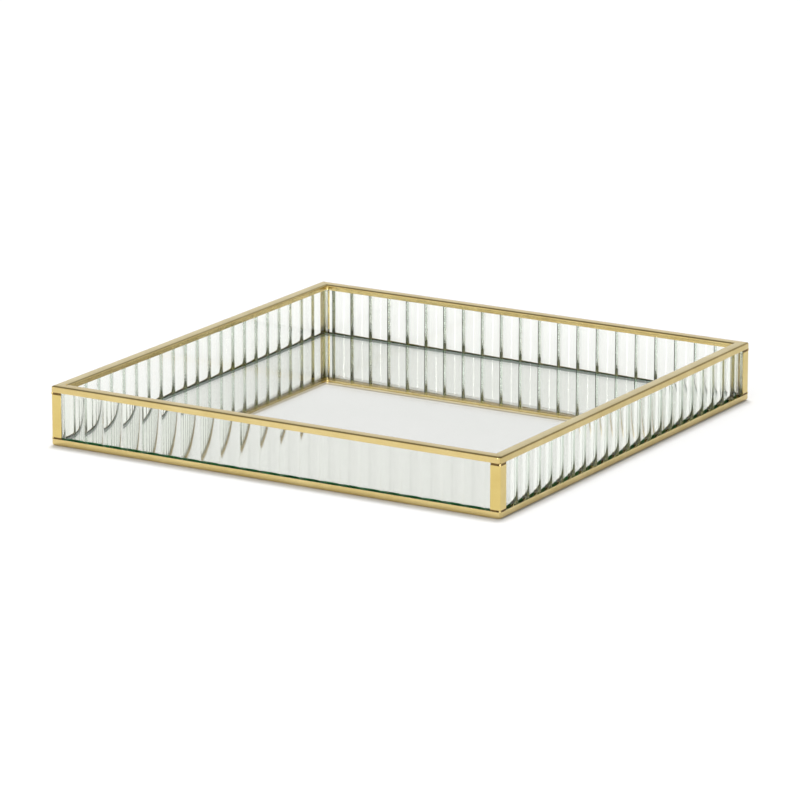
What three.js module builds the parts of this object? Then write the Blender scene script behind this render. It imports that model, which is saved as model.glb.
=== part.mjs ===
// Square mirrored vanity tray: fluted glass walls held between folded brass rails.
// Millimetres, +Z up, origin at the centre of the underside. The front wall faces -Y.
import * as THREE from 'three';

// Overall size
const SIDE = 250;
const HEIGHT = 30;
const HALF = SIDE / 2;

// Brass sheet and its bends
const SHEET = 0.4;
const BEND = 1; // outside radius of a rail's fold
const POST_BEND = 0.7; // outside radius of a post's fold
const MITRE_CUT = 0.04; // taken off each rail end, so that two rails meet with a hairline seam

// Top rail: a channel that caps the glass
const RAIL_WIDTH = 6;
const TOP_OUTER_LIP = 3.2;
const TOP_INNER_LIP = 2.8;

// Base rail: an angle that carries the glass and the mirror
const RAIL_RISE = 0.2; // the rails clear the table, because the felt stands proud of them
const BASE_LIP_TOP = 3.45;
const BASE_FLANGE = 10;

// Corner posts: folded angles between the rails
const POST_LEG = 5.5;
const POST_HEAD_GAP = 1.1; // from a post to the top rails above it
const POST_FOOT_GAP = 0.9; // from a post to the base rails below it

// Fluted glass: hollow flutes on the outer face, meeting in sharp ridges
const GLASS = 4.2; // thickness at a ridge
const GLASS_OUTSET = SHEET + 0.1; // from the tray's outer plane to the ridges
const GLASS_INSET = GLASS_OUTSET + GLASS; // from the tray's outer plane to the smooth inner face
const GLASS_FOOT = RAIL_RISE + SHEET + 0.4; // the arrises clear the inside of the rails' folds
const GLASS_HEAD = HEIGHT - SHEET - 0.4;
const FLUTE_RADIUS = 10.2;
const BUTT_GAP = 0.1; // between the end of a short panel and the long panel that it meets
// Rolled glass: the pitch wanders a little from strip to strip, and as each is cut from a longer sheet,
// its first ridge lies at its own distance from the middle.
const FLUTE_PITCH = { front: 11.13, right: 10.91, back: 11.22, left: 11.04 };
const FIRST_RIDGE = { front: -117.3, right: -118.71, back: -117.92, left: -111.9 };

// Mirror and felt
const MIRROR = 2.8;
const MIRROR_GAP = 0.15; // from the mirror's edge to the front, back and left walls
const MIRROR_RIGHT_GAP = 0.9;
const MIRROR_TOP = 3.6;
const SILVERING = 0.1;
const FILM_GAP = 0.05;
const FELT = 0.6;
const FELT_GAP = 0.5; // from the felt's edge to the base rails' flanges

// Solder
const SEAM_LEG = 5.4; // of the seam between a post and the rails
const SEAM_SINK = 0.12; // the seam lies in from the outer plane
const SOLDER_GAP = 0.03;
const FILLET = 1.1; // of the joint in the corner of the rim

const WALLS = ['front', 'right', 'back', 'left'];
const CORNERS = ['front_left', 'front_right', 'back_right', 'back_left'];
const QUARTER = Math.PI / 2;

const brass = new THREE.MeshStandardMaterial({ color: 0xdcc382, roughness: 0.35, metalness: 1 });
const solder = new THREE.MeshStandardMaterial({ color: 0xecd58f, roughness: 0.3, metalness: 1 });
const glass = new THREE.MeshStandardMaterial({ color: 0xdfe9e2, roughness: 0.05, metalness: 0 });
const silver = new THREE.MeshStandardMaterial({ color: 0xe8eae5, roughness: 0.02, metalness: 1 });
const felt = new THREE.MeshStandardMaterial({ color: 0x2c2c2e, roughness: 0.95, metalness: 0 });

const tray = new THREE.Group();

// Adds a mesh, turned by a number of quarter turns about the tray's middle.
function add(name, geometry, material, turns = 0) {
  const mesh = new THREE.Mesh(geometry, material);
  mesh.name = name;
  mesh.rotation.z = turns * QUARTER;
  tray.add(mesh);
}

// An outline in plan, standing from one height to another.
function upright(shape, low, high, curveSegments = 4) {
  const options = { depth: high - low, bevelEnabled: false, curveSegments };
  const geometry = new THREE.ExtrudeGeometry(shape, options);
  geometry.translate(0, 0, low);
  return geometry;
}

// A plate about the tray's middle, with its right edge at a distance of its own.
function plate(half, right, low, high) {
  const outline = new THREE.Shape();
  outline.moveTo(-half, -half);
  outline.lineTo(right, -half);
  outline.lineTo(right, half);
  outline.lineTo(-half, half);
  outline.closePath();
  return upright(outline, low, high);
}

// A section, drawn as distance in from the outer plane against height, run along the front wall.
// Each end is cut at 45 degrees, by how far in each point lies.
function mitredRail(section) {
  const options = { depth: 1, bevelEnabled: false, curveSegments: 3 };
  const geometry = new THREE.ExtrudeGeometry(section, options);
  const place = geometry.attributes.position;
  for (let i = 0; i < place.count; i += 1) {
    const inset = place.getX(i);
    const height = place.getY(i);
    const end = place.getZ(i) > 0.5 ? 1 : -1;
    place.setXYZ(i, end * (HALF - inset - MITRE_CUT), inset - HALF, height);
  }
  return geometry;
}

function topRailSection() {
  const inner = BEND - SHEET;
  const web = HEIGHT - SHEET;
  const section = new THREE.Shape();
  section.moveTo(0, HEIGHT - TOP_OUTER_LIP);
  section.lineTo(0, HEIGHT - BEND);
  section.absarc(BEND, HEIGHT - BEND, BEND, Math.PI, QUARTER, true);
  section.absarc(RAIL_WIDTH - BEND, HEIGHT - BEND, BEND, QUARTER, 0, true);
  section.lineTo(RAIL_WIDTH, HEIGHT - TOP_INNER_LIP);
  section.lineTo(RAIL_WIDTH - SHEET, HEIGHT - TOP_INNER_LIP);
  section.absarc(RAIL_WIDTH - BEND, web - inner, inner, 0, QUARTER, false);
  section.absarc(BEND, web - inner, inner, QUARTER, Math.PI, false);
  section.lineTo(SHEET, HEIGHT - TOP_OUTER_LIP);
  section.closePath();
  return section;
}

function baseRailSection() {
  const inner = BEND - SHEET;
  const section = new THREE.Shape();
  section.moveTo(0, BASE_LIP_TOP);
  section.lineTo(0, RAIL_RISE + BEND);
  section.absarc(BEND, RAIL_RISE + BEND, BEND, Math.PI, 1.5 * Math.PI, false);
  section.lineTo(BASE_FLANGE, RAIL_RISE);
  section.lineTo(BASE_FLANGE, RAIL_RISE + SHEET);
  section.lineTo(BEND, RAIL_RISE + SHEET);
  section.absarc(BEND, RAIL_RISE + BEND, inner, 1.5 * Math.PI, Math.PI, true);
  section.lineTo(SHEET, BASE_LIP_TOP);
  section.closePath();
  return section;
}

// An angle folded round the corner at -X -Y, between two distances in from the tray's outer planes.
function cornerAngle(leg, from, to) {
  const bendCentre = -HALF + POST_BEND;
  const shape = new THREE.Shape();
  shape.moveTo(-HALF + from, -HALF + leg);
  shape.absarc(bendCentre, bendCentre, POST_BEND - from, Math.PI, 1.5 * Math.PI, false);
  shape.lineTo(-HALF + leg, -HALF + from);
  shape.lineTo(-HALF + leg, -HALF + to);
  shape.absarc(bendCentre, bendCentre, POST_BEND - to, 1.5 * Math.PI, Math.PI, true);
  shape.lineTo(-HALF + to, -HALF + leg);
  shape.closePath();
  return shape;
}

// The front wall's glass in plan: flute after flute along the outer face, then the flat inner face.
function flutedOutline(halfLength, firstRidge, pitch) {
  const halfPitch = pitch / 2;
  const ridgeLine = -HALF + GLASS_OUTSET;
  const centreLine = ridgeLine - Math.sqrt(FLUTE_RADIUS ** 2 - halfPitch ** 2);
  const shape = new THREE.Shape();
  const lead = Math.ceil((halfLength + firstRidge) / pitch);
  const start = firstRidge - lead * pitch;
  const count = Math.ceil((halfLength - start) / pitch);
  for (let i = 0; i < count; i += 1) {
    const middle = start + (i + 0.5) * pitch;
    const from = Math.max(-halfPitch, -halfLength - middle);
    const to = Math.min(halfPitch, halfLength - middle);
    const first = Math.acos(from / FLUTE_RADIUS);
    const last = Math.acos(to / FLUTE_RADIUS);
    shape.absarc(middle, centreLine, FLUTE_RADIUS, first, last, true);
  }
  shape.lineTo(halfLength, -HALF + GLASS_INSET);
  shape.lineTo(-halfLength, -HALF + GLASS_INSET);
  shape.closePath();
  return shape;
}

// The solder left in the corner of the rim, where two inner lips meet.
function rimFillet() {
  const corner = -HALF + RAIL_WIDTH + SOLDER_GAP;
  const shape = new THREE.Shape();
  shape.moveTo(corner, corner);
  shape.lineTo(corner + FILLET, corner);
  shape.absarc(corner + FILLET, corner + FILLET, FILLET, 1.5 * Math.PI, Math.PI, true);
  shape.closePath();
  return shape;
}

const longPanel = HALF - GLASS_OUTSET;
const shortPanel = HALF - GLASS_INSET - BUTT_GAP;
const lipFoot = HEIGHT - TOP_OUTER_LIP;
const postFoot = BASE_LIP_TOP + POST_FOOT_GAP;
const postHead = lipFoot - POST_HEAD_GAP;

WALLS.forEach((wall, turns) => {
  const halfLength = turns % 2 === 0 ? shortPanel : longPanel;
  const outline = flutedOutline(halfLength, FIRST_RIDGE[wall], FLUTE_PITCH[wall]);
  add(`top_rail_${wall}`, mitredRail(topRailSection()), brass, turns);
  add(`base_rail_${wall}`, mitredRail(baseRailSection()), brass, turns);
  add(`glass_panel_${wall}`, upright(outline, GLASS_FOOT, GLASS_HEAD, 6), glass, turns);
});

CORNERS.forEach((corner, turns) => {
  const post = cornerAngle(POST_LEG, 0, SHEET);
  const seam = cornerAngle(SEAM_LEG, SEAM_SINK, SHEET);
  const topSeam = upright(seam, postHead + SOLDER_GAP, lipFoot - SOLDER_GAP);
  const baseSeam = upright(seam, BASE_LIP_TOP + SOLDER_GAP, postFoot - SOLDER_GAP);
  add(`corner_post_${corner}`, upright(post, postFoot, postHead), brass, turns);
  add(`solder_post_top_${corner}`, topSeam, solder, turns);
  add(`solder_post_base_${corner}`, baseSeam, solder, turns);
  add(`solder_rim_${corner}`, upright(rimFillet(), HEIGHT - TOP_INNER_LIP, HEIGHT - BEND), solder, turns);
});

const mirrorHalf = HALF - GLASS_INSET - MIRROR_GAP;
const mirrorRight = HALF - GLASS_INSET - MIRROR_RIGHT_GAP;
const mirrorFoot = MIRROR_TOP - MIRROR;
const filmTop = mirrorFoot - FILM_GAP;
const feltHalf = HALF - BASE_FLANGE - FELT_GAP;
add('mirror_glass', plate(mirrorHalf, mirrorRight, mirrorFoot, MIRROR_TOP), glass);
add('mirror_silvering', plate(mirrorHalf, mirrorRight, filmTop - SILVERING, filmTop), silver);
add('felt_base', plate(feltHalf, feltHalf, 0, FELT), felt);

export default tray;
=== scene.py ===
"""Looks of the mirrored vanity tray: fluted glass walls between folded brass rails."""
import math
import random

import bpy
from mathutils import Matrix, Quaternion, Vector


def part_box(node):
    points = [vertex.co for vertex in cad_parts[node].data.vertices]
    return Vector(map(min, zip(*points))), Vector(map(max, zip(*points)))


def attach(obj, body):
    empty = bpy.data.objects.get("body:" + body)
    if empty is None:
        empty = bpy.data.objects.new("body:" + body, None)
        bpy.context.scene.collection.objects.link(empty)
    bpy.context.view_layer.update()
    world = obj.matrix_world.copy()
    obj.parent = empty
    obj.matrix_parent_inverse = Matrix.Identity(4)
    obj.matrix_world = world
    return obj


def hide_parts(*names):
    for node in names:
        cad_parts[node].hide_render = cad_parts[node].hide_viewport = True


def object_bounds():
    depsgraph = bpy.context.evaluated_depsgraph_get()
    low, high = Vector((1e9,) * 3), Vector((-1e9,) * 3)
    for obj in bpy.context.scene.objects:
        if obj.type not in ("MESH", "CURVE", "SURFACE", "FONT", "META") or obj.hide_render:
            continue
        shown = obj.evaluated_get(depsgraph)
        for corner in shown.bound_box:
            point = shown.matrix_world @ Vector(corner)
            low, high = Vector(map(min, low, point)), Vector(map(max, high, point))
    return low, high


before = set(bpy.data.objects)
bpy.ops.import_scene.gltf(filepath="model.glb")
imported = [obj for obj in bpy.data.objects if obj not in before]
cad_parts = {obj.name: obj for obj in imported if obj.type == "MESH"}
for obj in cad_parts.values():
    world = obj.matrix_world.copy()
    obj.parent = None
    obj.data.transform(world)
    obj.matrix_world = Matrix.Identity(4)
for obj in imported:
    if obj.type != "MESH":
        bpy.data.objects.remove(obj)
cad_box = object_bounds()

MM = 0.001
HALF = cad_box[1].x / MM
HEIGHT = cad_box[1].z / MM

# Brass sheet, in millimetres, as in the CAD model
SHEET = 0.4
BEND = 1.0  # outside radius of a rail's fold
POST_BEND = 0.7
RAIL_WIDTH = 6.0
TOP_OUTER_LIP = 3.2
TOP_INNER_LIP = 2.8
RAIL_RISE = 0.2
BASE_LIP_TOP = 3.45
BASE_FLANGE = 10.0
MITRE_CUT = 0.04
POST_LEG = 5.5
POST_HEAD_GAP = 1.1
POST_FOOT_GAP = 0.9
BROKEN_EDGE = 0.07  # width of the bevel along a sheet's edges

# The rails' outer corners are rounded in plan, within the last stretch of each rail
CORNER_ROUNDING = {"front_left": 0.5, "front_right": 2.0, "back_right": 0.5, "back_left": 0.5}
CORNER_STRETCH = BASE_FLANGE + 3
CORNER_STEPS = 6

# Solder
SEAM_LEG = 5.4
SEAM_SINK = 0.12
SOLDER_GAP = 0.03
FILLET = 1.1
BEAD = 0.55  # half the width of the bead in a groove, where a post folds
BEAD_RISE = {"top": 0.85, "base": 0.62}  # half the height of the bead

# Glass, measured in from the tray's outer plane
GLASS_OUTSET = 0.5
GLASS = 4.2
BUTT_GAP = 0.1
MIRROR_CHAMFER = 0.06

# Flutes
FLUTE_RADIUS = 10.2
FLUTE_PITCH = {"front": 11.13, "right": 10.91, "back": 11.22, "left": 11.04}
FIRST_RIDGE = {"front": -117.3, "right": -118.71, "back": -117.92, "left": -111.9}
RIDGE_RADIUS = {"front": 0.2, "right": 0.2, "back": 0.36, "left": 0.2}
RIDGE_FACE = 4e-6  # in square metres: a strip of a pane's face is smaller than this only on a ridge

WALLS = ("front", "right", "back", "left")
CORNERS = ("front_left", "front_right", "back_right", "back_left")

scene = bpy.context.scene


def linear(red, green, blue):
    """A screen colour from 0 to 255 as the linear colour that a shader takes."""
    def one(c):
        c /= 255
        return ((c + 0.055) / 1.055) ** 2.4 if c > 0.04 else c / 12.92
    return (one(red), one(green), one(blue), 1.0)


# ---- Materials ----

def new_material(name):
    material = bpy.data.materials.new(name)
    material.use_nodes = True
    nodes = material.node_tree.nodes
    return material, nodes, material.node_tree.links, nodes["Principled BSDF"]


def noise(nodes, links, stretch, detail=4.0, rough=0.55):
    """A noise in the tray's own space; stretch is the number of cells to the metre along X, Y and Z."""
    place = nodes.new("ShaderNodeTexCoord")
    mapping = nodes.new("ShaderNodeMapping")
    mapping.inputs["Scale"].default_value = stretch
    links.new(place.outputs["Object"], mapping.inputs["Vector"])
    texture = nodes.new("ShaderNodeTexNoise")
    texture.inputs["Scale"].default_value = 1.0
    texture.inputs["Detail"].default_value = detail
    texture.inputs["Roughness"].default_value = rough
    links.new(mapping.outputs["Vector"], texture.inputs["Vector"])
    return texture.outputs["Fac"]


def ramp(nodes, links, source, stops):
    """A colour ramp fed by source; stops are (position, colour)."""
    node = nodes.new("ShaderNodeValToRGB")
    points = node.color_ramp.elements
    while len(points) < len(stops):
        points.new(0.5)
    for point, (position, colour) in zip(points, stops):
        point.position = position
        point.color = colour
    links.new(source, node.inputs["Fac"])
    return node.outputs["Color"]


def grey(value):
    return (value, value, value, 1.0)


def bump(nodes, links, shader, height, strength, distance):
    node = nodes.new("ShaderNodeBump")
    node.inputs["Strength"].default_value = strength
    node.inputs["Distance"].default_value = distance
    links.new(height, node.inputs["Height"])
    links.new(node.outputs["Normal"], shader.inputs["Normal"])


def brass(name, grain, light, dark):
    """Lacquered brass with a fine grain; grain is the number of scratches to the metre along X, Y and Z."""
    material, nodes, links, shader = new_material(name)
    shader.inputs["Metallic"].default_value = 1.0
    patina = noise(nodes, links, (60, 60, 90), 5.0, 0.6)
    tint = ramp(nodes, links, patina, [(0.35, linear(*dark)), (0.65, linear(*light))])
    links.new(tint, shader.inputs["Base Color"])
    scratches = noise(nodes, links, grain, 3.0, 0.6)
    polish = ramp(nodes, links, scratches, [(0.3, grey(0.13)), (0.7, grey(0.24))])
    links.new(polish, shader.inputs["Roughness"])
    bump(nodes, links, shader, scratches, 0.2, 0.00002)
    return material


def solder_metal():
    material, nodes, links, shader = new_material("solder")
    shader.inputs["Metallic"].default_value = 1.0
    pits = noise(nodes, links, (1500, 1500, 1500), 3.0)
    tint = ramp(nodes, links, pits, [(0.35, linear(206, 176, 104)), (0.6, linear(246, 226, 164))])
    links.new(tint, shader.inputs["Base Color"])
    polish = ramp(nodes, links, pits, [(0.3, grey(0.32)), (0.7, grey(0.14))])
    links.new(polish, shader.inputs["Roughness"])
    bump(nodes, links, shader, pits, 0.6, 0.00012)
    return material


def flux_and_groove_shade():
    """Solder and flux in a groove, in a dark brown that is partly painted shade of the narrow gap."""
    material, nodes, links, shader = new_material("flux_and_painted_groove_shade")
    shader.inputs["Metallic"].default_value = 0.7
    mottle = noise(nodes, links, (700, 700, 700), 5.0, 0.7)
    tint = ramp(nodes, links, mottle, [(0.35, linear(74, 54, 24)), (0.7, linear(140, 112, 58))])
    links.new(tint, shader.inputs["Base Color"])
    shader.inputs["Roughness"].default_value = 0.5
    bump(nodes, links, shader, mottle, 0.8, 0.0002)
    return material


def clear_glass(name, drawn, tint, absorption, density):
    """Clear glass, faintly green through its depth; drawn is the stretch of its faint surface waves."""
    material, nodes, links, shader = new_material(name)
    shader.inputs["Base Color"].default_value = tint
    shader.inputs["Transmission Weight"].default_value = 1.0
    shader.inputs["IOR"].default_value = 1.52
    shader.inputs["Roughness"].default_value = 0.0
    waves = noise(nodes, links, drawn, 2.0, 0.5)
    bump(nodes, links, shader, waves, 0.1, 0.00001)
    depth = nodes.new("ShaderNodeVolumeAbsorption")
    depth.inputs["Color"].default_value = absorption
    depth.inputs["Density"].default_value = density
    links.new(depth.outputs["Volume"], nodes["Material Output"].inputs["Volume"])
    return material


def ground_glass():
    """The cut and ground end of a glass strip: frosted, with chips."""
    material, nodes, links, shader = new_material("glass_ground_end")
    shader.inputs["Transmission Weight"].default_value = 1.0
    shader.inputs["IOR"].default_value = 1.52
    chips = noise(nodes, links, (900, 900, 700), 6.0, 0.7)
    tint = ramp(nodes, links, chips, [(0.38, linear(120, 134, 92)), (0.46, linear(244, 248, 238))])
    links.new(tint, shader.inputs["Base Color"])
    frost = ramp(nodes, links, chips, [(0.35, grey(0.5)), (0.6, grey(0.06))])
    links.new(frost, shader.inputs["Roughness"])
    bump(nodes, links, shader, chips, 0.7, 0.0002)
    return material


def painted_glass_edge(name, deep, pale):
    """An opaque stand-in for a glass edge or ridge, coloured with painted light and shade for what the
    glass shows there, patchy between deep and pale.
    """
    material, nodes, links, shader = new_material(name)
    patchiness = noise(nodes, links, (160, 160, 160), 5.0, 0.65)
    tint = ramp(nodes, links, patchiness, [(0.3, linear(*deep)), (0.75, linear(*pale))])
    links.new(tint, shader.inputs["Base Color"])
    shader.inputs["Roughness"].default_value = 0.55
    shader.inputs["Specular IOR Level"].default_value = 0.1
    bump(nodes, links, shader, patchiness, 0.3, 0.0001)
    return material


def silver_film():
    material, nodes, links, shader = new_material("silvering")
    shader.inputs["Metallic"].default_value = 1.0
    haze = noise(nodes, links, (14, 14, 14), 4.0, 0.5)
    tint = ramp(nodes, links, haze, [(0.3, linear(243, 244, 240)), (0.7, linear(247, 247, 244))])
    links.new(tint, shader.inputs["Base Color"])
    shader.inputs["Roughness"].default_value = 0.0
    return material


def felt_cloth():
    material, nodes, links, shader = new_material("felt")
    fibres = noise(nodes, links, (2600, 2600, 2600), 8.0, 0.75)
    tint = ramp(nodes, links, fibres, [(0.3, linear(24, 24, 27)), (0.7, linear(66, 66, 70))])
    links.new(tint, shader.inputs["Base Color"])
    shader.inputs["Roughness"].default_value = 0.95
    shader.inputs["Sheen Weight"].default_value = 0.4
    bump(nodes, links, shader, fibres, 0.9, 0.0004)
    return material


# By the way that the grain runs: along X on the front and back rails, along Y on the side rails, and
# up the posts. What faces sideways is painted darker than what faces the front, as painted shade; the
# side rails' tops get a lighter copy as painted light, and their outer fold a darker brass as painted
# reflection.
BRASS = {
    "x": brass("brass_grain_x", (40, 2200, 2200), (221, 200, 140), (211, 188, 126)),
    # painted shade: a darker copy of the front rails' brass, for the side rails
    "y": brass("brass_grain_y_painted_shade", (2200, 40, 2200), (203, 184, 130), (191, 171, 114)),
    "y_top_painted_light": brass("brass_grain_y_top_painted_light", (2200, 40, 2200), (221, 204, 148), (209, 190, 131)),
    "z": brass("brass_grain_z", (2200, 2200, 60), (222, 200, 129), (212, 188, 117)),
    "z_side_painted_shade": brass("brass_grain_z_side_painted_shade", (2200, 2200, 60), (213, 193, 132), (201, 180, 116)),
    # painted reflection: a dark brass for the dark surroundings seen in the side rails' outer fold
    "fold": brass("brass_fold_painted_shade", (900, 900, 900), (176, 155, 103), (160, 139, 88)),
}
SOLDER = solder_metal()
FLUX_AND_SHADE = flux_and_groove_shade()
GREEN = (0.6, 0.86, 0.64, 1.0)
FLUTED = clear_glass("fluted_glass", (120, 120, 2), (0.92, 0.925, 0.897, 1.0), GREEN, 9.0)
FLOAT = clear_glass("mirror_float_glass", (25, 25, 25), (1.0, 1.0, 1.0, 1.0), GREEN, 4.0)
GROUND = ground_glass()
# Painted shade: the back wall's ridges are opaque dark grey-green, for the dark lines the fluted glass
# shows along them.
RIDGE_PAINTED_SHADE = painted_glass_edge("glass_ridge_painted_shade", (70, 84, 66), (104, 116, 96))
# Painted reflection: the panes' head and foot are an opaque pale olive-yellow for the brass channel seen
# through the glass.
FOOT_PAINTED_REFLECTION = painted_glass_edge("glass_foot_painted_reflection", (206, 208, 116), (232, 228, 146))
# The mirror's edges are opaque green: partly the glass's own green seen edge-on, partly painted light and
# shade of the gap by the walls.
MIRROR_EDGE_PARTLY_PAINTED = painted_glass_edge("mirror_edge_partly_painted", (40, 120, 78), (72, 146, 92))
SILVER = silver_film()
FELT = felt_cloth()


# ---- Meshes ----

def solid(name, points, faces, materials, node, smooth=28, turns=0):
    """A closed mesh that stands for a CAD node, from points in millimetres, turned about the middle."""
    mesh = bpy.data.meshes.new(name)
    turn = Matrix.Rotation(turns * math.pi / 2, 3, "Z")
    mesh.from_pydata([turn @ Vector(p) * MM for p in points], [], faces)
    mesh.update()
    for polygon in mesh.polygons:
        polygon.use_smooth = True
    mesh.set_sharp_from_angle(angle=math.radians(smooth))
    for material in materials:
        mesh.materials.append(material)
    piece = bpy.data.objects.new(name, mesh)
    scene.collection.objects.link(piece)
    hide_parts(node)
    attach(piece, "root")
    return piece


def prism(outline, low, high):
    """Points and faces of an outline in plan, anticlockwise, that stands from low to high."""
    n = len(outline)
    points = [(x, y, low) for x, y in outline] + [(x, y, high) for x, y in outline]
    faces = [tuple(range(n))[::-1], tuple(range(n, 2 * n))]
    faces += [(i, (i + 1) % n, n + (i + 1) % n, n + i) for i in range(n)]
    return points, faces


def soften(piece):
    """Breaks the sharp edges."""
    bevel = piece.modifiers.new("arris", "BEVEL")
    bevel.width = BROKEN_EDGE * MM
    bevel.segments = 2
    bevel.limit_method = "ANGLE"
    bevel.angle_limit = math.radians(50)


def arc(x, y, radius, start, end, steps):
    """Points round a centre, from one angle in degrees to another."""
    angles = [math.radians(start + (end - start) * i / steps) for i in range(steps + 1)]
    return [(x + radius * math.cos(a), y + radius * math.sin(a)) for a in angles]


def rail_path(inset, corner):
    """One line of a rail's last stretch, at an inset from the outer plane, as far as the mitre."""
    straight = HALF - CORNER_STRETCH
    rounding = CORNER_ROUNDING[corner]
    if inset < rounding:
        turn = HALF - rounding
        path = [(straight, inset - HALF)]
        path += arc(turn, -turn, rounding - inset, -90, -45, CORNER_STEPS - 1)
    else:
        stretch = HALF - inset - straight
        path = [(straight + stretch * i / CORNER_STEPS, inset - HALF) for i in range(CORNER_STEPS + 1)]
    return [(x - MITRE_CUT * i / CORNER_STEPS, y) for i, (x, y) in enumerate(path)]


def shade_side_rail(mesh):
    """Gives a side wall's rail its materials: lips first with painted shade, flat top second with painted
    light, outer fold third with painted reflection.
    """
    fold_from = 0.5
    fold_to = 0.85
    for polygon in mesh.polygons:
        upward = polygon.normal.z
        outward = polygon.normal.xy.dot(polygon.center.xy) > 0
        if upward > (fold_to if outward else fold_from):
            polygon.material_index = 1
        elif upward > fold_from:
            polygon.material_index = 2


def rail(kind, wall, section, turns):
    """A folded rail along one wall, mitred at both ends and rounded with its neighbours at the corners."""
    loops = []
    for inset, height in section:
        start = rail_path(inset, CORNERS[turns])
        end = rail_path(inset, CORNERS[(turns + 1) % 4])
        run = [(-x, y, height) for x, y in reversed(start)] + [(x, y, height) for x, y in end]
        loops.append(run)
    count = len(loops[0])
    points = [loop[s] for s in range(count) for loop in loops]
    n = len(section)
    faces = [tuple(range(n)), tuple(range((count - 1) * n, count * n))[::-1]]
    for s in range(count - 1):
        for j in range(n):
            k = (j + 1) % n
            faces.append((s * n + j, (s + 1) * n + j, (s + 1) * n + k, s * n + k))
    side_wall = turns % 2 == 1
    # the side rails take painted shade, with a lighter top and a darker fold painted in
    sheets = [BRASS["y"], BRASS["y_top_painted_light"], BRASS["fold"]] if side_wall else [BRASS["x"]]
    piece = solid(f"{kind}_sheet_{wall}", points, faces, sheets, f"{kind}_{wall}", 40, turns)
    if side_wall:
        shade_side_rail(piece.data)
    soften(piece)


def top_rail_section():
    inner = BEND - SHEET
    web = HEIGHT - BEND
    foot = HEIGHT - TOP_OUTER_LIP
    inner_foot = HEIGHT - TOP_INNER_LIP
    far = RAIL_WIDTH - BEND
    section = [(0, foot)] + arc(BEND, web, BEND, 180, 90, 6) + arc(far, web, BEND, 90, 0, 6)
    section += [(RAIL_WIDTH, inner_foot), (RAIL_WIDTH - SHEET, inner_foot)]
    section += arc(far, web, inner, 0, 90, 4) + arc(BEND, web, inner, 90, 180, 4) + [(SHEET, foot)]
    return section


def base_rail_section():
    inner = BEND - SHEET
    bend = RAIL_RISE + BEND
    section = [(0, BASE_LIP_TOP), (SHEET, BASE_LIP_TOP)]
    section += arc(BEND, bend, inner, 180, 270, 4)
    section += [(BASE_FLANGE, RAIL_RISE + SHEET), (BASE_FLANGE, RAIL_RISE)]
    section += arc(BEND, bend, BEND, 270, 180, 6)
    return section


def angle_outline(leg, start, end):
    """A folded angle in plan, round the corner at -X -Y, between two distances in from the outer planes."""
    near = POST_BEND - HALF
    outline = [(start - HALF, leg - HALF)] + arc(near, near, POST_BEND - start, 180, 270, 7)
    outline += [(leg - HALF, start - HALF), (leg - HALF, end - HALF)]
    outline += arc(near, near, POST_BEND - end, 270, 180, 5) + [(end - HALF, leg - HALF)]
    return outline


def flute_depth(u, pitch, ridge):
    """How far the outer face lies in from the ridge line, at u from a flute's middle."""
    u = abs(u)
    half = pitch / 2
    reach = FLUTE_RADIUS + ridge
    centre = FLUTE_RADIUS - math.sqrt(reach ** 2 - half ** 2)
    crest = centre + ridge
    if u <= half * FLUTE_RADIUS / reach:
        return crest - (FLUTE_RADIUS - math.sqrt(FLUTE_RADIUS ** 2 - u ** 2))
    return crest - (centre + math.sqrt(max(ridge ** 2 - (half - u) ** 2, 0)))


def flute_steps(pitch, ridge):
    """Where a flute's face has its points, from its middle: even along the hollow, fine on the ridges."""
    half = pitch / 2
    edge = half * FLUTE_RADIUS / (FLUTE_RADIUS + ridge)
    in_hollow = 11
    on_ridge = 4
    hollow = [edge * i / in_hollow for i in range(-in_hollow, in_hollow + 1)]
    rise = [edge + (half - edge) * math.sin(math.pi / 2 * i / on_ridge) for i in range(1, on_ridge + 1)]
    return [-r for r in reversed(rise)] + hollow + rise[:-1]


def fluted_outline(half_length, first, pitch, ridge):
    """The front wall's glass in plan, anticlockwise: its outer face flute by flute, then its inner face."""
    ridge_line = GLASS_OUTSET - HALF
    start = first - pitch * math.ceil((half_length + first) / pitch)
    middles = [start + pitch * (i + 0.5) for i in range(math.ceil((half_length - start) / pitch))]
    stops = [middle + u for middle in middles for u in flute_steps(pitch, ridge)]
    nearest = 0.02
    stops = [x for x in stops if abs(x) < half_length - nearest]
    outline = []
    for x in [-half_length, *stops, half_length]:
        from_middle = (x - start) % pitch - pitch / 2
        outline.append((x, ridge_line + flute_depth(from_middle, pitch, ridge)))
    inner_face = ridge_line + GLASS
    return outline + [(half_length, inner_face), (-half_length, inner_face)]


def glass_panel(wall, turns):
    node = f"glass_panel_{wall}"
    low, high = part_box(node)
    half_length = HALF - GLASS_OUTSET - (0 if turns % 2 else GLASS + BUTT_GAP)
    outline = fluted_outline(half_length, FIRST_RIDGE[wall], FLUTE_PITCH[wall], RIDGE_RADIUS[wall])
    points, faces = prism(outline, low.z / MM, high.z / MM)
    materials = [FLUTED, FOOT_PAINTED_REFLECTION, GROUND, RIDGE_PAINTED_SHADE]
    piece = solid(f"fluted_pane_{wall}", points, faces, materials, node, 28, turns)
    along = Vector((0, 1, 0)) if turns % 2 else Vector((1, 0, 0))
    for polygon in piece.data.polygons:
        # the head and foot take the painted reflection of the brass channel
        if abs(polygon.normal.z) > 0.9:  # the head and the foot
            polygon.material_index = 1
        elif abs(polygon.normal.dot(along)) > 0.99:  # the two ends
            polygon.material_index = 2
        # painted shade on the back wall's ridges
        elif wall == "back" and polygon.area < RIDGE_FACE:
            polygon.material_index = 3


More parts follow.
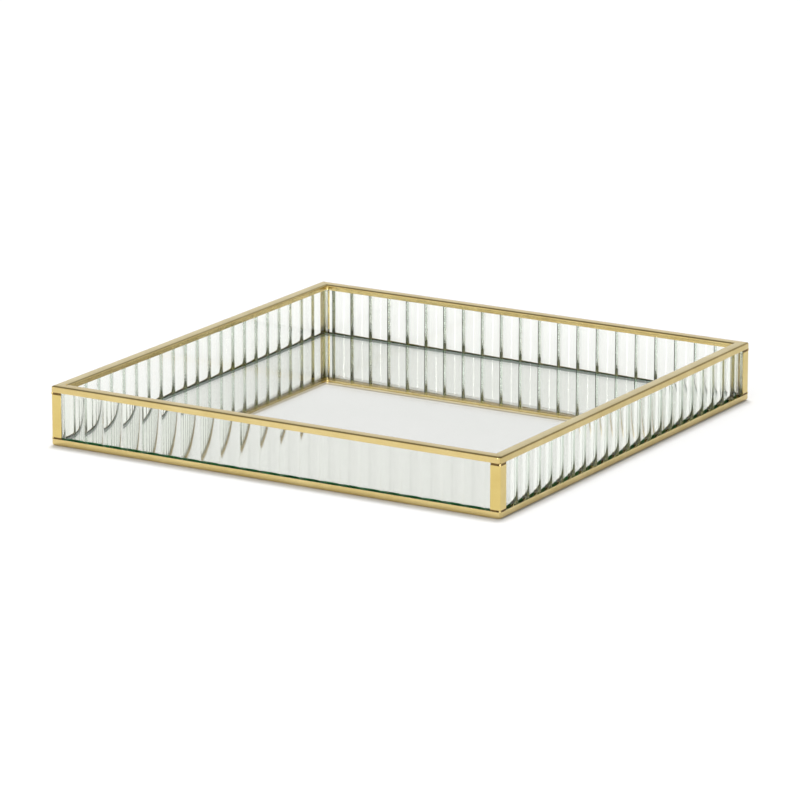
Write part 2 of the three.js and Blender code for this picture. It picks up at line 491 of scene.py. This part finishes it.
def corner_post(corner, turns):
    node = f"corner_post_{corner}"
    low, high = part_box(node)
    points, faces = prism(angle_outline(POST_LEG, 0, SHEET), low.z / MM, high.z / MM)
    # The post faces that look along X take a darker copy of the brass, as painted shade.
    sheets = [BRASS["z"], BRASS["z_side_painted_shade"]]
    piece = solid(f"post_{corner}", points, faces, sheets, node, 40, turns)
    for polygon in piece.data.polygons:
        polygon.material_index = 1 if abs(polygon.normal.x) > abs(polygon.normal.y) else 0
    soften(piece)


def seam(kind, corner, turns):
    """Solder that has run along the joint between a post and the rails, dark brown in its groove as painted
    shade of the gap.
    """
    node = f"solder_post_{kind}_{corner}"
    low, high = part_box(node)
    points, faces = prism(angle_outline(SEAM_LEG, SEAM_SINK, SHEET), low.z / MM, high.z / MM)
    solid(f"seam_{kind}_{corner}", points, faces, [FLUX_AND_SHADE], node, 40, turns)


def blob(name, node, centre, radii, seed, turns, material=SOLDER):
    """A lump of solder: a ball, squashed and uneven."""
    dice = random.Random(seed)
    rows = 9
    columns = 14
    unevenness = 0.06
    waves = [(dice.uniform(1, 3), dice.uniform(1, 3), dice.uniform(0, 6.3)) for _ in range(5)]
    points = []
    for i in range(1, rows):
        up = math.pi * i / rows
        for j in range(columns):
            about = 2 * math.pi * j / columns
            ripples = [math.sin(2 * rise * up + round(turn) * about + shift) for rise, turn, shift in waves]
            swell = 1 + unevenness * sum(ripples)
            ball = (math.sin(up) * math.cos(about), math.sin(up) * math.sin(about), -math.cos(up))
            points.append(tuple(c + r * swell * b for c, r, b in zip(centre, radii, ball)))
    foot = len(points)
    points.append((centre[0], centre[1], centre[2] - radii[2]))
    points.append((centre[0], centre[1], centre[2] + radii[2]))
    faces = []
    for i in range(rows - 2):
        for j in range(columns):
            k = (j + 1) % columns
            faces.append((i * columns + j, i * columns + k, (i + 1) * columns + k, (i + 1) * columns + j))
    for j in range(columns):
        k = (j + 1) % columns
        last = (rows - 2) * columns
        faces.append((foot, k, j))
        faces.append((foot + 1, last + j, last + k))
    solid(name, points, faces, [material], node, 60, turns)


def rim_fillet(corner, turns):
    """Solder drawn into the corner between two inner lips."""
    node = f"solder_rim_{corner}"
    low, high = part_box(node)
    dice = random.Random(turns + 40)
    near = RAIL_WIDTH + SOLDER_GAP - HALF
    steps = 8
    levels = 7
    points = []
    for level in range(levels):
        share = level / (levels - 1)
        height = (low.z + (high.z - low.z) * share) / MM
        reach = FILLET * (0.8 + 0.25 * share + dice.uniform(-0.06, 0.06))
        points.append((near, near, height))
        points += [(x, y, height) for x, y in arc(near + reach, near + reach, reach, 270, 180, steps)]
    n = steps + 2
    faces = [tuple(range(n))[::-1], tuple(range((levels - 1) * n, levels * n))]
    for level in range(levels - 1):
        for j in range(n):
            k = (j + 1) % n
            faces.append((level * n + j, level * n + k, (level + 1) * n + k, (level + 1) * n + j))
    solid(f"rim_solder_{corner}", points, faces, [SOLDER], node, 40, turns)


def plate(name, node, materials, chamfer=0.0):
    """A plate as large as its CAD node, its edges chamfered; the edges take the second material."""
    low, high = (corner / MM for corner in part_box(node))
    levels = [(chamfer, low.z), (0, low.z + chamfer), (0, high.z - chamfer), (chamfer, high.z)]
    if not chamfer:
        levels = [(0, low.z), (0, high.z)]
    points = []
    for inset, z in levels:
        left, right = low.x + inset, high.x - inset
        front, rear = low.y + inset, high.y - inset
        points += [(left, front, z), (right, front, z), (right, rear, z), (left, rear, z)]
    top = 4 * (len(levels) - 1)
    faces = [(3, 2, 1, 0), (top, top + 1, top + 2, top + 3)]
    for level in range(len(levels) - 1):
        base = 4 * level
        faces += [(base + i, base + (i + 1) % 4, base + 4 + (i + 1) % 4, base + 4 + i) for i in range(4)]
    piece = solid(name, points, faces, materials, node)
    if len(materials) > 1:
        for polygon in piece.data.polygons:
            polygon.material_index = 0 if abs(polygon.normal.z) > 0.9 else 1
    return piece


top_section = top_rail_section()
base_section = base_rail_section()
for turns, wall in enumerate(WALLS):
    rail("top_rail", wall, top_section, turns)
    rail("base_rail", wall, base_section, turns)
    glass_panel(wall, turns)

fold = SHEET - HALF
top_groove = HEIGHT - TOP_OUTER_LIP - POST_HEAD_GAP / 2
base_groove = BASE_LIP_TOP + POST_FOOT_GAP / 2
for turns, corner in enumerate(CORNERS):
    corner_post(corner, turns)
    for kind, groove in (("top", top_groove), ("base", base_groove)):
        node = f"solder_post_{kind}_{corner}"
        radii = (BEAD, BEAD, BEAD_RISE[kind])
        seam(kind, corner, turns)
        blob(f"bead_{kind}_{corner}", node, (fold, fold, groove), radii, turns + len(kind), turns)
    rim_fillet(corner, turns)

# At the front left corner solder has run down beside the post, in the groove's dark brown that is partly
# painted shade, and a lump stands on the rim
drip_place = (POST_LEG - 0.35 - HALF, 0.3 - HALF, top_groove - 0.5)
blob("drip", "solder_post_top_front_left", drip_place, (0.4, 0.28, 0.75), 7, 0, FLUX_AND_SHADE)
rim = RAIL_WIDTH - 0.6 - HALF
lump_place = (rim, rim, HEIGHT - 0.12)
blob("lump", "solder_rim_front_left", lump_place, (0.75, 0.55, 0.4), 9, 0)

# the mirror's edge faces take the partly painted green
plate("mirror_plate", "mirror_glass", [FLOAT, MIRROR_EDGE_PARTLY_PAINTED], MIRROR_CHAMFER)
plate("mirror_film", "mirror_silvering", [SILVER])
plate("felt_pad", "felt_base", [FELT])


# ---- Stage ----

floor_reach = 6.0
floor_corners = [(x * floor_reach, y * floor_reach, 0) for x, y in ((-1, -1), (1, -1), (1, 1), (-1, 1))]
floor_mesh = bpy.data.meshes.new("floor")
floor_mesh.from_pydata(floor_corners, [], [(0, 1, 2, 3)])
floor = bpy.data.objects.new("floor", floor_mesh)
scene.collection.objects.link(floor)
floor_material, _, _, floor_shader = new_material("floor")
floor_shader.inputs["Base Color"].default_value = grey(0.9)
floor_shader.inputs["Roughness"].default_value = 1.0
floor_shader.inputs["Specular IOR Level"].default_value = 0.0
floor_mesh.materials.append(floor_material)


# Brightness round the tray, by degrees from the front (-Y) towards the right (+X), and by height
AROUND = [(-180, 0.95), (-150, 0.87), (-90, 1.0), (-60, 0.9), (-31, 1.1), (-10, 1.15), (30, 1.2),
          (60, 1.05), (110, 0.95), (149, 0.72), (170, 0.9), (180, 0.95)]
UPWARD = [(0.0, 1.0), (0.31, 1.0), (0.44, 0.85), (0.54, 0.34), (1.0, 0.2)]


def studio_world():
    """A white surround, a little dimmer behind the tray than in front of it, and dim overhead."""
    world = bpy.data.worlds.new("studio")
    scene.world = world
    world.use_nodes = True
    nodes = world.node_tree.nodes
    links = world.node_tree.links
    place = nodes.new("ShaderNodeTexCoord")
    axes = nodes.new("ShaderNodeSeparateXYZ")
    links.new(place.outputs["Generated"], axes.inputs[0])
    forward = nodes.new("ShaderNodeMath")
    forward.operation = "MULTIPLY"
    forward.inputs[1].default_value = -1.0
    links.new(axes.outputs["Y"], forward.inputs[0])
    turn = nodes.new("ShaderNodeMath")
    turn.operation = "ARCTAN2"
    links.new(axes.outputs["X"], turn.inputs[0])
    links.new(forward.outputs[0], turn.inputs[1])
    share = nodes.new("ShaderNodeMapRange")
    share.inputs["From Min"].default_value = -math.pi
    share.inputs["From Max"].default_value = math.pi
    links.new(turn.outputs[0], share.inputs["Value"])
    around = ramp(nodes, links, share.outputs[0], [(0.5 + a / 360, grey(v)) for a, v in AROUND])
    upward = ramp(nodes, links, axes.outputs["Z"], [(z, grey(v)) for z, v in UPWARD])
    both = nodes.new("ShaderNodeMix")
    both.data_type = "RGBA"
    both.blend_type = "MULTIPLY"
    both.inputs["Factor"].default_value = 1.0
    colour_a, colour_b, colour_result = 6, 7, 2  # the colour sockets, whose names the other types share
    links.new(around, both.inputs[colour_a])
    links.new(upward, both.inputs[colour_b])
    links.new(both.outputs[colour_result], nodes["Background"].inputs["Color"])


def direction(azimuth, elevation):
    """The way to a place round the tray, in degrees from the front towards the right, and upwards."""
    a = math.radians(azimuth)
    e = math.radians(elevation)
    return Vector((math.sin(a) * math.cos(e), -math.cos(a) * math.cos(e), math.sin(e)))


def softbox(name, azimuth, elevation, distance, size, power, seen):
    """A rectangular lamp aimed at the tray's middle; seen says whether the brass and the glass show it."""
    away = direction(azimuth, elevation)
    data = bpy.data.lights.new(name, "AREA")
    data.shape = "RECTANGLE"
    data.size = size[0]
    data.size_y = size[1]
    data.energy = power
    lamp = bpy.data.objects.new(name, data)
    scene.collection.objects.link(lamp)
    lamp.location = away * distance
    lamp.rotation_euler = away.to_track_quat("Z", "Y").to_euler()
    lamp.visible_camera = False
    lamp.visible_glossy = seen
    lamp.visible_transmission = seen


studio_world()
softbox("overhead", azimuth=-155, elevation=82.5, distance=6.0, size=(1.15, 1.15), power=244, seen=False)
softbox("fill", azimuth=30, elevation=60, distance=2.6, size=(1.6, 1.6), power=5, seen=False)
softbox("front_strip", azimuth=0, elevation=16, distance=2.0, size=(0.34, 1.1), power=9, seen=True)


# ---- Camera ----

back = direction(30.79, 14.99)
aim = Vector((-0.02364, 0.03412, 0.00032))
distance = 2.5803
roll = 0.0013
camera_data = bpy.data.cameras.new("camera")
camera_data.lens = 232.02
camera_data.sensor_width = 36
camera = bpy.data.objects.new("camera", camera_data)
scene.collection.objects.link(camera)
camera.location = aim + back * distance
camera.rotation_mode = "QUATERNION"
camera.rotation_quaternion = (-back).to_track_quat("-Z", "Y") @ Quaternion((0, 0, 1), roll)
scene.camera = camera

scene.view_settings.view_transform = "Standard"
scene.cycles.max_bounces = 20
scene.cycles.transmission_bounces = 20
scene.cycles.glossy_bounces = 16
scene.cycles.transparent_max_bounces = 16
